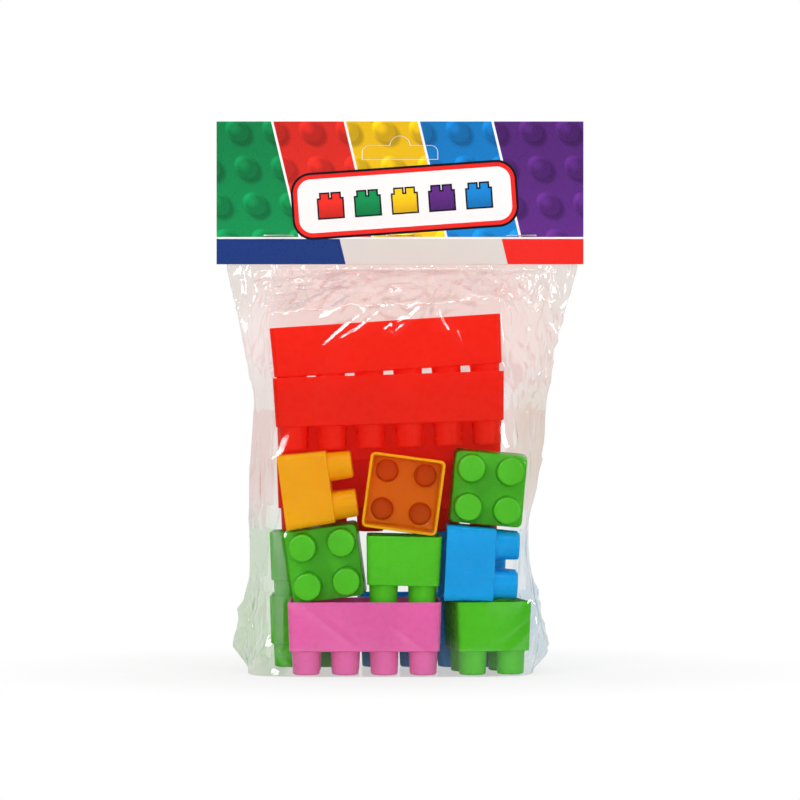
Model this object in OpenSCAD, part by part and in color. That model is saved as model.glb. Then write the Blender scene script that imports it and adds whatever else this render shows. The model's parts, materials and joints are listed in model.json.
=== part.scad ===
// Set of toy building blocks in a clear film bag, closed by a folded and stapled header card.
// Millimetres, +Z up. The bag stands on its base with its front towards -Y, and the origin is
// on the floor under the middle of the pack.

/* [Block] */
// Distance between stud centres
pitch = 16; // [14:0.5:18]
// Amount by which a block is narrower than its studs' grid
block_play = 1; // [0.6:0.1:1.4]
// Height of a block's body, without its studs
body_h = 20.2; // [17:0.1:24]
// Height of a stud above the body
stud_h = 9.8; // [8:0.1:12]
// Diameter of a stud at its root
stud_d = 11.9; // [10.5:0.1:12.1]
// Amount by which a stud's radius shrinks from root to end
stud_taper = 0.4; // [0.35:0.05:0.6]
// Radius of the round edge on a stud's end
stud_edge_r = 0.9; // [0.5:0.1:1.5]
// Wall thickness of a block
wall = 1.1; // [0.9:0.05:1.2]
// Amount by which each side leans in from the open rim to the stud end
draft = 0.7; // [0.3:0.1:0.9]
// Outer radius of a block's upright corners
corner_r = 2.2; // [1.6:0.1:3]
// Size of the chamfer round the stud end of the body
edge_chamfer = 0.4; // [0.2:0.1:0.8]
// Radius of the clutch ribs inside the rim
rib_r = 0.5; // [0.4:0.05:0.6]
// Length of the clutch ribs
rib_len = 7; // [4:0.5:9]
// Clearance between a clutch rib and the stud it grips
rib_clear = 0.15; // [0.1:0.05:0.3]

/* [Packing] */
// Clearance between a resting block and what carries it
seat_gap = 0.3; // [0.2:0.05:0.5]
// Least sideways gap between neighbouring blocks
side_gap = 0.9; // [0.6:0.1:1.5]
// Gap between the front and back layers of blocks
layer_gap = 5; // [4:0.5:8]
// Depth to which a loosely plugged block's studs sit in the block below
stud_dip = 3.1; // [2:0.1:5]
// Amount by which the upper right green block sits behind the fronts of the others
face_setback = 2; // [1:0.5:3]
// Sideways place of the long block at the bottom of the front layer
pink_x = -14.5; // [-17:0.5:-12]
// Sideways step from the long bottom block to the long red blocks on top
red_shift = 10; // [6:0.5:14]
// Sideways step to the left from the long bottom block to the stack behind it
stack_shift = 25; // [22:0.5:28]
// Sideways step to the right from the long bottom block to the long blue block behind it
brick_shift = 28; // [27:0.5:30]
// Depth at which the long red blocks lie
red_y = -14; // [-15:0.5:-4]
// Lean of the left green block and of the yellow block on it
left_tilt = 7.7; // [3:0.1:9]
// Lean of the yellow block that shows its open side
open_tilt = -7.7; // [-9:0.1:-3]
// Lean of the green block at the upper right
upper_tilt = -5.2; // [-7:0.1:-2]
// Lean of the green block in the middle
middle_tilt = -1.3; // [-2:0.1:0]
// Lean of the blue block that lies on its side
blue_tilt = -2.8; // [-5:0.1:-1]
// Turn of the green block at the lower right about the upright
corner_yaw = 11; // [6:0.5:14]
// Lean of the lower long red block
red_tilt = 1.85; // [0.5:0.05:3]
// Extra lean of the upper long red block in the lower one
red_cock = 1.85; // [0.5:0.05:2]

/* [Bag] */
// Thickness of the bag's film
film_t = 0.3; // [0.2:0.05:0.4]
// Width of the bag laid flat, at its mouth
bag_w = 147; // [140:1:152]
// Room between the blocks and the film, front and back
depth_slack = 2.6; // [2.2:0.1:5]
// Room between the blocks and the film at the sides of the base
base_slack = 5; // [4:0.5:8]
// Room at the sides where the lower corners of the bag stick out
ear_slack = 13; // [8:0.5:16]
// Room at the sides of the blocks above the corners
side_slack = 8.5; // [7:0.5:14]
// Room at the sides of the bag's shoulders, above the top block
shoulder_slack = 13.5; // [10:0.5:16]
// Room at the sides where the bag's front and back turn to its seams
corner_slack = 2.8; // [2.6:0.1:5]
// Amount by which the bag's right side has less room than its left
right_tuck = 3.5; // [2:0.5:5]
// Height over which the bag's lower edge rounds out
base_round = 3; // [2:0.5:6]
// Height of the bag's lower corners
ear_z = 14; // [8:1:20]
// Height above the top block at which the bag starts to close
lift_room = 7; // [6.5:0.5:9]
// Distance below the card at which the film is drawn flat
neck_drop = 2; // [1:0.5:4]
// Distance from the hang slot's foot down to the film's mouth
mouth_drop = 3; // [2:0.5:10]
// Empty height in the bag, from the top block to the header
headspace = 21.5; // [18:0.5:30]
// Squareness of the bag's cross-section
bag_power = 12; // [11:1:18]

/* [Header card] */
// Width of the header card
card_w = 154; // [152:1:170]
// Height of the folded header card
card_h = 60; // [50:1:80]
// Thickness of the card
card_t = 0.45; // [0.3:0.05:0.6]
// Clearance between the card and the film in it
card_clear = 0.1; // [0.05:0.05:0.3]
// Length of the hang slot
slot_w = 32; // [28:1:36]
// Height of the hang slot's straight part
slot_h = 6.1; // [5:0.1:8]
// Radius of the hang slot's hook bump
bump_r = 4.4; // [3.5:0.1:5]
// Depth of the bump's centre below the slot's straight upper edge
bump_sink = 0.4; // [0:0.1:1]
// Distance from the card's top to the slot's straight upper edge
slot_drop = 10; // [8:0.5:14]
// Gap cut all round a hang tab
tab_cut = 0.25; // [0.15:0.05:0.4]

/* [Staples] */
// Width of a staple
staple_w = 12.4; // [10:0.1:14]
// Diameter of the staple's wire
wire_d = 0.55; // [0.4:0.05:0.7]
// Length of a staple's turned-in end
clinch = 4; // [3:0.1:5]
// Distance between staples
staple_step = 51; // [40:1:58]
// Height of the staples above the card's lower edge
staple_rise = 12; // [8:0.5:20]
// Clearance round a staple's leg
leg_clear = 0.05; // [0.02:0.01:0.1]

/* [Hidden] */
$fn = 48;

red = "#f5221b";
yellow = "#ffae00";
green = "#4fc02a";
blue = "#1496dd";
pink = "#e763b4";
clear_film = [0.9, 0.92, 0.93, 0.35];
card_print = "#2f8fd0";
steel = "#c4c6c8";

// Which way a block's studs point, as a turn from studs up
STUDS_DOWN = [180, 0, 0];
STUDS_RIGHT = [0, 90, 0];
STUDS_FRONT = [90, 0, 0];
STUDS_BACK = [-90, 0, 0];

// Outer length of a block at its open rim, for a number of studs
function span(studs) = studs * pitch - block_play;
// Half the height, or width, of a square block that leans in its own plane
function half_leaning(lean) = span(2) / 2 * (cos(lean) + sin(abs(lean)));
// A vector in the front plane, turned anticlockwise as seen from the front
function turned(x, z, lean) = [x * cos(lean) - z * sin(lean), 0, x * sin(lean) + z * cos(lean)];

w2 = span(2);
w4 = span(4);
w6 = span(6);
lug_reach = pitch / 2 + stud_d / 2;
half_h = body_h / 2;
full_half = half_h + stud_h;

front_y = -(layer_gap + w2) / 2;
back_y = (layer_gap + w2) / 2;
floor_z = film_t + seat_gap;
rim_z = floor_z + stud_h + body_h;
plugged_z = rim_z - stud_dip + stud_h + half_h;

// Body centres of the blocks, each from what it stands on or lies beside
pink_at = [pink_x, front_y, rim_z - half_h];
middle_at = [pink_x + pitch, front_y, plugged_z];
corner_at = [
    pink_x + w4 / 2 + side_gap + half_leaning(corner_yaw),
    layer_gap / 2 - seat_gap - half_leaning(corner_yaw),
    rim_z - half_h
];

// The left green block lies on its lowest stud, and its lower corner dips into the long block's socket
left_foot = pitch / 2 * (cos(left_tilt) + sin(left_tilt)) + stud_d / 2;
left_at = [
    pink_x - rib_line(4) + rib_r + seat_gap + w2 / 2 * (cos(left_tilt) - sin(left_tilt)),
    front_y + rib_line(2) - rib_r - seat_gap - half_h,
    rim_z + seat_gap + left_foot
];

open_corner_x = w2 / 2 * (cos(open_tilt) + sin(open_tilt));
open_x = middle_at.x;
open_at = [
    open_x,
    front_y - w2 / 2 + face_setback / 2 + half_h,
    middle_at.z + half_h / cos(middle_tilt) + (open_x + open_corner_x - middle_at.x) * tan(middle_tilt)
        + seat_gap + half_leaning(open_tilt)
];

blue_feet = [
    turned(-half_h, -w2 / 2, blue_tilt),
    turned(half_h, draft - w2 / 2, blue_tilt),
    turned(full_half, -lug_reach, blue_tilt)
];
blue_at = [
    middle_at.x + w2 / 2 + side_gap + half_h * cos(blue_tilt) - w2 / 2 * sin(blue_tilt),
    front_y,
    rim_z + seat_gap - min([for (p = blue_feet) p.z])
];

// Height at which a leaning square block's lower face clears a point
function above(point, centre_x, lean) =
    point.z + seat_gap + w2 / 2 / cos(lean) - (point.x - centre_x) * tan(lean);

upper_x = open_at.x + half_leaning(open_tilt) + side_gap + half_leaning(upper_tilt);
blue_tops = [
    blue_at + turned(-half_h, w2 / 2, blue_tilt),
    blue_at + turned(half_h, w2 / 2 - draft, blue_tilt),
    blue_at + turned(full_half, lug_reach, blue_tilt)
];
upper_at = [
    upper_x,
    front_y - w2 / 2 + face_setback + full_half,
    max([for (p = blue_tops) above(p, upper_x, upper_tilt)])
];

side_x = open_at.x - half_leaning(open_tilt) - side_gap
    - full_half * cos(left_tilt) - lug_reach * sin(left_tilt);
side_rise = w2 + seat_gap;
side_run = (side_x - left_at.x + side_rise * sin(left_tilt)) / cos(left_tilt);
side_at = [side_x, front_y, left_at.z + turned(side_run, side_rise, left_tilt).z];

// The lower red block rests on the highest corners of the row below it
red_x = pink_x + red_shift;
red_seats = [
    side_at + turned(-half_h, w2 / 2, left_tilt),
    side_at + turned(half_h, w2 / 2 - draft, left_tilt),
    side_at + turned(full_half, lug_reach, left_tilt),
    open_at + turned(-w2 / 2, w2 / 2, open_tilt),
    upper_at + turned(-w2 / 2, w2 / 2, upper_tilt),
    upper_at + turned(w2 / 2, w2 / 2, upper_tilt)
];
red_lower_at = [
    red_x,
    red_y,
    max([for (p = red_seats)
        p.z + seat_gap + full_half / cos(red_tilt) - (p.x - red_x) * tan(red_tilt)])
];
red_plug = [-w6 / 2, 0, half_h + seat_gap] + turned(w6 / 2, half_h, red_cock);
red_upper_at = red_lower_at + turned(red_plug.x, red_plug.z, red_tilt);
red_top = red_upper_at.z + turned(w6 / 2, half_h, red_tilt + red_cock).z;

green_low_at = [pink_x - stack_shift, back_y, rim_z - half_h];
green_high_at = [green_low_at.x, back_y, plugged_z];
blue_low_at = [pink_x + brick_shift, back_y, rim_z - half_h];
blue_high_at = [blue_low_at.x + pitch, back_y, plugged_z];
red_back_at = [
    red_x,
    back_y,
    plugged_z + half_h + seat_gap + full_half
];
red_over_at = red_back_at + [0, 0, body_h + seat_gap];

// Header card and staples, above the blocks
card_z = red_top + headspace;
card_inner = film_t + card_clear;
card_outer = card_inner + card_t;
card_top = card_z + card_h;
slot_top = card_top - slot_drop;
slot_bottom = slot_top - slot_h;
film_top = slot_bottom - mouth_drop;
staple_z = card_z + staple_rise;
tab_axis_z = slot_bottom + tab_cut + card_t / 2;

// Extents of the blocks, which the bag goes round, and the bag's depth round them
packed_left = -green_low_at.x + w2 / 2;
packed_right = corner_at.x + half_leaning(corner_yaw);
packed_depth = layer_gap / 2 + w2;
packed_bag = packed_depth + depth_slack;
red_front = w2 / 2 - red_y + depth_slack;
red_behind = w2 / 2 + red_y + depth_slack;
row_top = max([for (p = red_seats) p.z]) + seat_gap;
shoulder_z = max(red_lower_at.z, red_over_at.z + lift_room) + half_h;

// One station of the bag: height, seams to the left and right, depth in front and behind, then corners
function bag_row(z, slack, front, behind, tuck = right_tuck) = [
    z, packed_left + slack, packed_right + slack - tuck, front, behind,
    packed_left + corner_slack, packed_right + corner_slack
];
function flat_row(z) = [z, bag_w / 2, bag_w / 2, film_t, film_t, bag_w / 2, bag_w / 2];

bag_stations = [
    bag_row(0, base_slack, packed_depth, packed_depth),
    bag_row(base_round, side_slack, packed_bag - depth_slack / 3, packed_bag - depth_slack / 3),
    bag_row(ear_z, ear_slack, packed_bag, packed_bag),
    bag_row(rim_z, side_slack, packed_bag, packed_bag),
    bag_row(row_top, side_slack, packed_bag, packed_bag),
    bag_row(shoulder_z, side_slack, red_front, packed_bag),
    bag_row(red_top + lift_room, shoulder_slack, red_front, red_behind, 0),
    flat_row(card_z - neck_drop),
    flat_row(film_top)
];
// Rows of facets between two stations, and facets round half a row
STEPS = 3;
HALF_RING = 24;

// A block, studs up, with its open rim on z = 0
module block(nx, ny) {
    difference() {
        union() {
            body_solid(nx, ny, 0, 0, body_h, edge_chamfer);
            each_stud(nx, ny) translate([0, 0, body_h]) stud();
        }
        body_solid(nx, ny, wall, -1, body_h - wall, 0);
        each_stud(nx, ny) stud_core();
    }
    clutch_ribs(nx, ny);
}

// Places its children at each stud
module each_stud(nx, ny) {
    for (i = [0 : nx - 1], j = [0 : ny - 1])
        translate([(i - (nx - 1) / 2) * pitch, (j - (ny - 1) / 2) * pitch, 0]) children();
}

// Outer half length of a block's side at a height, inside an offset
function side_at_height(studs, inset, z) = span(studs) / 2 - inset - draft * z / body_h;

// Body of a block as one drafted solid with round upright corners
module body_solid(nx, ny, inset, z0, z1, chamfer) {
    hull() {
        slab(nx, ny, inset, z0);
        slab(nx, ny, inset, z1 - chamfer);
        slab(nx, ny, inset + chamfer, z1);
    }
}

// Thin slice of a block's body
module slab(nx, ny, inset, z) {
    slice = 0.01;
    least_r = 0.4;
    r = max(corner_r - inset, least_r);
    x = side_at_height(nx, inset, z) - r;
    y = side_at_height(ny, inset, z) - r;
    for (sx = [-1, 1], sy = [-1, 1])
        translate([sx * x, sy * y, z - (z > 0 ? slice : 0)]) cylinder(r = r, h = slice, $fn = 24);
}

// Tapered stud with a round edge on its end
module stud() {
    r0 = stud_d / 2;
    r1 = r0 - stud_taper;
    sunk = 0.5;
    rotate_extrude() union() {
        polygon([
            [0, -sunk], [r0, -sunk], [r0, 0], [r1, stud_h - stud_edge_r],
            [r1 - stud_edge_r, stud_h - stud_edge_r], [r1 - stud_edge_r, stud_h], [0, stud_h]
        ]);
        intersection() {
            translate([r1 - stud_edge_r, stud_h - stud_edge_r]) circle(r = stud_edge_r);
            translate([r1 - stud_edge_r, stud_h - stud_edge_r]) square(stud_edge_r);
        }
    }
}

// Hollow inside of a stud, open to the block's cavity
module stud_core() {
    r0 = stud_d / 2 - wall;
    sunk = 0.5;
    translate([0, 0, body_h - wall - sunk])
        cylinder(r1 = r0, r2 = r0 - stud_taper, h = stud_h + sunk);
}

// Ribs inside the rim, one on each wall beside each outer stud
module clutch_ribs(nx, ny) {
    for (sy = [-1, 1], i = [0 : nx - 1])
        translate([(i - (nx - 1) / 2) * pitch, sy * rib_line(ny), 0]) rib();
    for (sx = [-1, 1], j = [0 : ny - 1])
        translate([sx * rib_line(nx), (j - (ny - 1) / 2) * pitch, 0]) rib();
}

// Distance of a rib's axis from the block's middle
function rib_line(studs) = (studs - 1) * pitch / 2 + stud_d / 2 + rib_clear + rib_r;

module rib() {
    cylinder(r = rib_r, h = rib_len);
}

// Moves a block's body centre to a place, with its studs turned, then leaned, then yawed
module placed(at, studs, lean = 0, yaw = 0) {
    translate(at) rotate([0, 0, yaw]) rotate([0, -lean, 0]) rotate(studs)
        translate([0, 0, -half_h]) children();
}

module red_beam_upper() {
    color(red) placed(red_upper_at, STUDS_DOWN, red_tilt + red_cock) block(6, 2);
}

module red_beam_lower() {
    color(red) placed(red_lower_at, STUDS_DOWN, red_tilt) block(6, 2);
}

module red_beam_back_lower() {
    color(red) placed(red_back_at, STUDS_DOWN) block(6, 2);
}

module red_beam_back_upper() {
    color(red) placed(red_over_at, STUDS_DOWN) block(6, 2);
}

module yellow_block_side() {
    color(yellow) placed(side_at, STUDS_RIGHT, left_tilt) block(2, 2);
}

module yellow_block_open() {
    color(yellow) placed(open_at, STUDS_BACK, open_tilt) block(2, 2);
}

module green_block_upper() {
    color(green) placed(upper_at, STUDS_FRONT, upper_tilt) block(2, 2);
}

module green_block_left() {
    color(green) placed(left_at, STUDS_FRONT, left_tilt) block(2, 2);
}

module green_block_middle() {
    color(green) placed(middle_at, STUDS_DOWN, middle_tilt) block(2, 2);
}

module green_block_corner() {
    color(green) placed(corner_at, STUDS_DOWN, 0, corner_yaw) block(2, 2);
}

module green_block_back_lower() {
    color(green) placed(green_low_at, STUDS_DOWN) block(2, 2);
}

module green_block_back_upper() {
    color(green) placed(green_high_at, STUDS_DOWN) block(2, 2);
}

module blue_block_side() {
    color(blue) placed(blue_at, STUDS_RIGHT, blue_tilt) block(2, 2);
}

module blue_block_back() {
    color(blue) placed(blue_high_at, STUDS_DOWN) block(2, 2);
}

module blue_brick_back() {
    color(blue) placed(blue_low_at, STUDS_DOWN) block(4, 2);
}

module pink_brick() {
    color(pink) placed(pink_at, STUDS_DOWN) block(4, 2);
}

// One row of the bag's stations, eased between its neighbours
function station(step) =
    let (i = min(floor(step / STEPS), len(bag_stations) - 2), t = step / STEPS - i, s = t * t * (3 - 2 * t))
    let (a = bag_stations[i], b = bag_stations[i + 1])
    [a[0] + (b[0] - a[0]) * t, for (k = [1 : 6]) a[k] + (b[k] - a[k]) * s];

// Point of a half ring of the bag, from the right seam over a straight flank and a round corner to the left
function ring_point(row, depth, inset, j) =
    let (angle = 180 * j / HALF_RING, c = cos(angle), s = sin(angle))
    let (out = j == 0 || j == HALF_RING ? 0 : pow(s, 2 / bag_power))
    let (seam = c < 0 ? row[1] : row[2], corner = c < 0 ? row[5] : row[6])
    [
        (corner + (seam - corner) * (1 - out) - inset) * sign(c) * pow(abs(c), 2 / bag_power),
        -max(depth - inset, 0) * out,
        row[0]
    ];

// One panel of film, drawn as the front one; side picks its depth column in the stations
module film_panel(side) {
    count = STEPS * (len(bag_stations) - 1);
    width = HALF_RING + 1;
    rows = [for (i = [0 : count]) station(i)];
    outer = [for (row = rows, j = [0 : HALF_RING]) ring_point(row, row[side], 0, j)];
    inner = [for (i = [0 : count], j = [0 : HALF_RING])
        let (p = ring_point(rows[i], rows[i][side], film_t, j)) i == 0 ? [p.x, p.y, film_t] : p];
    shift = len(outer);
    walls = [for (i = [0 : count - 1], j = [0 : HALF_RING - 1])
        let (a = i * width + j, b = a + 1, c = a + width, d = c + 1)
        each [[a, c, b], [b, c, d], [a + shift, b + shift, c + shift], [b + shift, d + shift, c + shift]]];
    seams = [for (i = [0 : count - 1])
        let (a = i * width, c = a + width, e = a + HALF_RING, f = c + HALF_RING)
        each [[a, a + shift, c], [c, a + shift, c + shift], [e, f, e + shift], [f, f + shift, e + shift]]];
    top = count * width;
    mouth = [for (j = [0 : HALF_RING - 1])
        let (a = top + j, b = a + 1)
        each [[a, a + shift, b], [b, a + shift, b + shift]]];
    base = [
        [for (j = [0 : HALF_RING]) j],
        [for (j = [HALF_RING : -1 : 0]) j + shift],
        [0, HALF_RING, HALF_RING + shift, shift]
    ];
    polyhedron(points = concat(outer, inner), faces = concat(walls, seams, mouth, base), convexity = 4);
}

module bag_front() {
    color(clear_film) difference() {
        film_panel(3);
        staple_legs(leg_clear);
    }
}

module bag_back() {
    color(clear_film) difference() {
        mirror([0, 1, 0]) film_panel(4);
        staple_legs(leg_clear);
    }
}

// Outline of the hang slot, drawn in by an inset: square at its foot, round at its upper corners
module slot_outline(inset, low) {
    r = slot_h / 2 - inset;
    half = slot_w / 2 - inset;
    middle = slot_bottom + slot_h / 2;
    translate([-half, low]) square([2 * half, middle - low]);
    translate([-half + r, low]) square([2 * (half - r), middle + r - low]);
    for (sx = [-1, 1]) translate([sx * (half - r), middle]) circle(r = r);
    translate([0, slot_top - bump_sink]) circle(r = bump_r - inset);
}

// Turns an outline in x and z into a plate between two depths
module plate(y0, y1) {
    translate([0, y1, 0]) rotate([90, 0, 0]) linear_extrude(y1 - y0) children();
}

module header_card() {
    fold_z = card_top - card_outer;
    color(card_print) difference() {
        union() {
            for (y = [-card_outer, card_inner])
                translate([-card_w / 2, y, card_z]) cube([card_w, card_t, fold_z - card_z]);
            translate([-card_w / 2, 0, fold_z]) rotate([0, 90, 0]) difference() {
                cylinder(r = card_outer, h = card_w);
                translate([0, 0, -1]) cylinder(r = card_inner, h = card_w + 2);
                translate([0, -2 * card_outer, -1]) cube([2 * card_outer, 4 * card_outer, card_w + 2]);
            }
        }
        plate(-2 * card_outer, 2 * card_outer) slot_outline(0, slot_bottom);
        staple_legs(leg_clear);
    }
}

// Tab that closes the hang slot in one panel of the card, with a round crease along its foot
module hang_tab(y) {
    crease = slot_w - 2 * tab_cut;
    plate(y - card_t / 2, y + card_t / 2) slot_outline(tab_cut, tab_axis_z);
    translate([-crease / 2, y, tab_axis_z]) rotate([0, 90, 0]) cylinder(d = card_t, h = crease);
}

module hang_tab_front() {
    color(card_print) hang_tab(-(card_inner + card_t / 2));
}

module hang_tab_back() {
    color(card_print) hang_tab(card_inner + card_t / 2);
}

// Places its children at each staple's middle
module each_staple() {
    for (i = [-1 : 1]) translate([i * staple_step, 0, staple_z]) children();
}

// Legs of the staples, fattened by a clearance for the holes they pass through
module staple_legs(clear) {
    side = wire_d + 2 * clear;
    reach = card_outer + wire_d;
    each_staple() for (sx = [-1, 1])
        translate([sx * (staple_w - wire_d) / 2, 0, 0]) cube([side, 2 * reach, side], center = true);
}

// Staple of square wire: a crown in front, two legs, and their ends turned in behind
module staple() {
    half = staple_w / 2;
    depth = card_outer + wire_d;
    translate([-half, -depth, -wire_d / 2]) cube([staple_w, wire_d, wire_d]);
    for (sx = [-1, 1]) {
        translate([sx * (half - wire_d / 2) - wire_d / 2, -depth, -wire_d / 2]) cube([wire_d, 2 * depth, wire_d]);
        translate([sx < 0 ? -half : half - clinch, depth - wire_d, -wire_d / 2]) cube([clinch, wire_d, wire_d]);
    }
}

module staples() {
    color(steel) each_staple() staple();
}

red_beam_upper();
red_beam_lower();
red_beam_back_lower();
red_beam_back_upper();
yellow_block_side();
yellow_block_open();
green_block_upper();
green_block_left();
green_block_middle();
green_block_corner();
green_block_back_lower();
green_block_back_upper();
blue_block_side();
blue_block_back();
blue_brick_back();
pink_brick();
bag_front();
bag_back();
header_card();
hang_tab_front();
hang_tab_back();
staples();
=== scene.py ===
"""Set of toy building blocks in a film bag with a stapled header card, dressed for the render."""
import json
import math

import bmesh
import bpy
import numpy as np
from mathutils import Euler, Matrix, Vector, noise

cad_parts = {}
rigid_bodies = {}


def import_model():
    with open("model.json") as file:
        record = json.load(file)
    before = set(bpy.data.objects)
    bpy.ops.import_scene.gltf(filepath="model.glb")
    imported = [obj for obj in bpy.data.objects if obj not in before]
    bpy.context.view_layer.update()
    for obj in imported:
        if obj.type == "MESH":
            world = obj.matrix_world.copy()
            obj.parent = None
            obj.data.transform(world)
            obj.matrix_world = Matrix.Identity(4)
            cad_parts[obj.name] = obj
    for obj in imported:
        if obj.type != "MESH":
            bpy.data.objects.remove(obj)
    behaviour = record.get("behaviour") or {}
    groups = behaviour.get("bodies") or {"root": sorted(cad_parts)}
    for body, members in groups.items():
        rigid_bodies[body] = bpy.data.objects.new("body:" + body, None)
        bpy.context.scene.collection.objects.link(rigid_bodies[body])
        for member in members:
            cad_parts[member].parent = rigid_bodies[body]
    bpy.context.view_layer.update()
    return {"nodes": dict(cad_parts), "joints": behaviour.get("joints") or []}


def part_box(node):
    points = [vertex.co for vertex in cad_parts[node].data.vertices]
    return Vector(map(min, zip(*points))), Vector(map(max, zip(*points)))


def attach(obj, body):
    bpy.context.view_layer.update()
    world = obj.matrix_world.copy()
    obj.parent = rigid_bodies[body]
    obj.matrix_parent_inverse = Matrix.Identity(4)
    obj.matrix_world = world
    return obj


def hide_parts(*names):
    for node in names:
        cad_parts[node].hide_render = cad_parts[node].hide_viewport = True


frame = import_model()

MM = 0.001

# Camera: level, far off, as a catalogue shot
CAMERA_AWAY = 1.2
VIEW_WIDTH = 0.336
VIEW_HEIGHT = 0.1133
SENSOR = 36

camera = bpy.data.objects.new("camera", bpy.data.cameras.new("camera"))
camera.data.sensor_width = SENSOR
camera.data.lens = SENSOR * CAMERA_AWAY / VIEW_WIDTH
camera.location = (0, -CAMERA_AWAY, VIEW_HEIGHT)
camera.rotation_euler = (math.radians(90), 0, 0)
bpy.context.scene.collection.objects.link(camera)
bpy.context.scene.camera = camera
bpy.context.scene.view_settings.view_transform = "Standard"
# Light has to pass several walls to reach the blocks behind
bpy.context.scene.cycles.diffuse_bounces = 12
bpy.context.scene.cycles.max_bounces = 16


# Small helpers for shader trees

def linear(rgb):
    """A screen colour, 0 to 255, as the linear colour a shader takes."""
    out = []
    for part in rgb:
        value = part / 255
        out.append(value / 12.92 if value <= 0.04045 else ((value + 0.055) / 1.055) ** 2.4)
    return (*out, 1)


def plug(tree, value, socket):
    """Sets a socket to a number, or links a field or another socket to it."""
    if isinstance(value, Field):
        tree.links.new(value.socket, socket)
    elif isinstance(value, bpy.types.NodeSocket):
        tree.links.new(value, socket)
    else:
        socket.default_value = value


class Field:
    """A shader socket that a formula can be written with."""

    def __init__(self, tree, socket):
        self.tree = tree
        self.socket = socket

    def math(self, kind, *others):
        node = self.tree.nodes.new("ShaderNodeMath")
        node.operation = kind
        for place, value in enumerate((self, *others)):
            plug(self.tree, value, node.inputs[place])
        return Field(self.tree, node.outputs[0])

    def __add__(self, other):
        return self.math("ADD", other)

    def __sub__(self, other):
        return self.math("SUBTRACT", other)

    def __mul__(self, other):
        return self.math("MULTIPLY", other)

    def __abs__(self):
        return self.math("ABSOLUTE")

    def least(self, other):
        return self.math("MINIMUM", other)

    def most(self, other):
        return self.math("MAXIMUM", other)

    def above(self, level):
        return self.math("GREATER_THAN", level)

    def below(self, level):
        return self.math("LESS_THAN", level)

    def repeat(self, length):
        """Place within a step of a pattern that repeats, from minus to plus half a step."""
        return self.math("WRAP", length / 2, -length / 2)

    def ramp(self, low, high, start=0.0, end=1.0):
        """Runs from start to end while the field runs from low to high."""
        node = self.tree.nodes.new("ShaderNodeMapRange")
        node.interpolation_type = "SMOOTHSTEP"
        for place, value in enumerate((self, low, high, start, end)):
            plug(self.tree, value, node.inputs[place])
        return Field(self.tree, node.outputs[0])


def distance(across, down):
    """Length of a step that two fields give."""
    return (across * across + down * down).math("SQRT")


class Tree:
    """A new material's node tree."""

    def __init__(self, name):
        self.material = bpy.data.materials.new(name)
        self.material.use_nodes = True
        self.tree = self.material.node_tree
        self.tree.nodes.clear()
        self.coords = self.add("ShaderNodeTexCoord").outputs["Object"]

    def add(self, kind, **values):
        node = self.tree.nodes.new(kind)
        for name, value in values.items():
            setattr(node, name, value)
        return node

    def link(self, start, end):
        plug(self.tree, start, end)

    def axes(self):
        """The three object coordinates, in millimetres."""
        split = self.add("ShaderNodeSeparateXYZ")
        self.link(self.coords, split.inputs[0])
        return [Field(self.tree, out) * (1 / MM) for out in split.outputs]

    def noise(self, size, detail=2.0, rough=0.5, stretch=None, twist=0.0):
        """Noise with features of about size, in millimetres."""
        node = self.add("ShaderNodeTexNoise")
        source = self.coords
        if stretch:
            mapping = self.add("ShaderNodeMapping")
            mapping.inputs["Scale"].default_value = stretch
            self.link(self.coords, mapping.inputs["Vector"])
            source = mapping.outputs[0]
        self.link(source, node.inputs["Vector"])
        node.inputs["Scale"].default_value = 1 / (size * MM)
        node.inputs["Detail"].default_value = detail
        node.inputs["Roughness"].default_value = rough
        node.inputs["Distortion"].default_value = twist
        return Field(self.tree, node.outputs[0])

    def mix(self, share, first, second, kind="MIX"):
        """Mixes two colours."""
        node = self.add("ShaderNodeMix", data_type="RGBA", blend_type=kind)
        self.link(share, node.inputs[0])
        self.link(first, node.inputs[6])
        self.link(second, node.inputs[7])
        return node.outputs[2]

    def bump(self, height, depth, strength=1.0, normal=None):
        """Bump from a field of 0 to 1 that stands for a depth in millimetres."""
        node = self.add("ShaderNodeBump")
        node.inputs["Strength"].default_value = strength
        node.inputs["Distance"].default_value = depth * MM
        self.link(height, node.inputs["Height"])
        if normal is not None:
            self.link(normal, node.inputs["Normal"])
        return node.outputs[0]

    def attribute(self, name):
        """A value that the mesh carries at its points."""
        return Field(self.tree, self.add("ShaderNodeAttribute", attribute_name=name).outputs["Fac"])

    def shader(self, kind, inputs):
        """A shader with its named inputs set or linked."""
        node = self.add(kind)
        for name, value in inputs.items():
            self.link(value, node.inputs[name])
        return node.outputs[0]

    def blend(self, share, first, second):
        """Mixes two shaders."""
        node = self.add("ShaderNodeMixShader")
        for place, value in enumerate((share, first, second)):
            self.link(value, node.inputs[place])
        return node.outputs[0]

    def finish(self, shader):
        """Makes a shader the material's surface."""
        out = self.add("ShaderNodeOutputMaterial")
        self.link(shader, out.inputs["Surface"])
        return self.material


# Blocks

PITCH = 16 * MM
PLAY = 1 * MM
BODY_H = 20.2 * MM
STUD_H = 9.8 * MM
STUD_R = 5.95 * MM
STUD_TAPER = 0.4 * MM
STUD_EDGE = 0.9 * MM
STUD_ROOT = 0.35 * MM
WALL = 1.1 * MM
DRAFT = 0.7 * MM
CORNER_R = 2.2 * MM
BODY_EDGE = 0.45 * MM
RIM_EDGE = 0.3 * MM
RIB_LEN = 7 * MM
RIB_REACH = 0.15 * MM
RIB_HALF = 0.75 * MM
ARC_STEPS = 4
INNER_STEPS = (0, 0.6, 1.2, 2.7, 4.4, 6.2)
OUTER_STEPS = (0, 0.6, 1.2, 2.8)


def arc(start, end, steps=ARC_STEPS):
    """Angles from start to end, in degrees."""
    return [math.radians(start + (end - start) * k / steps) for k in range(steps + 1)]


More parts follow.
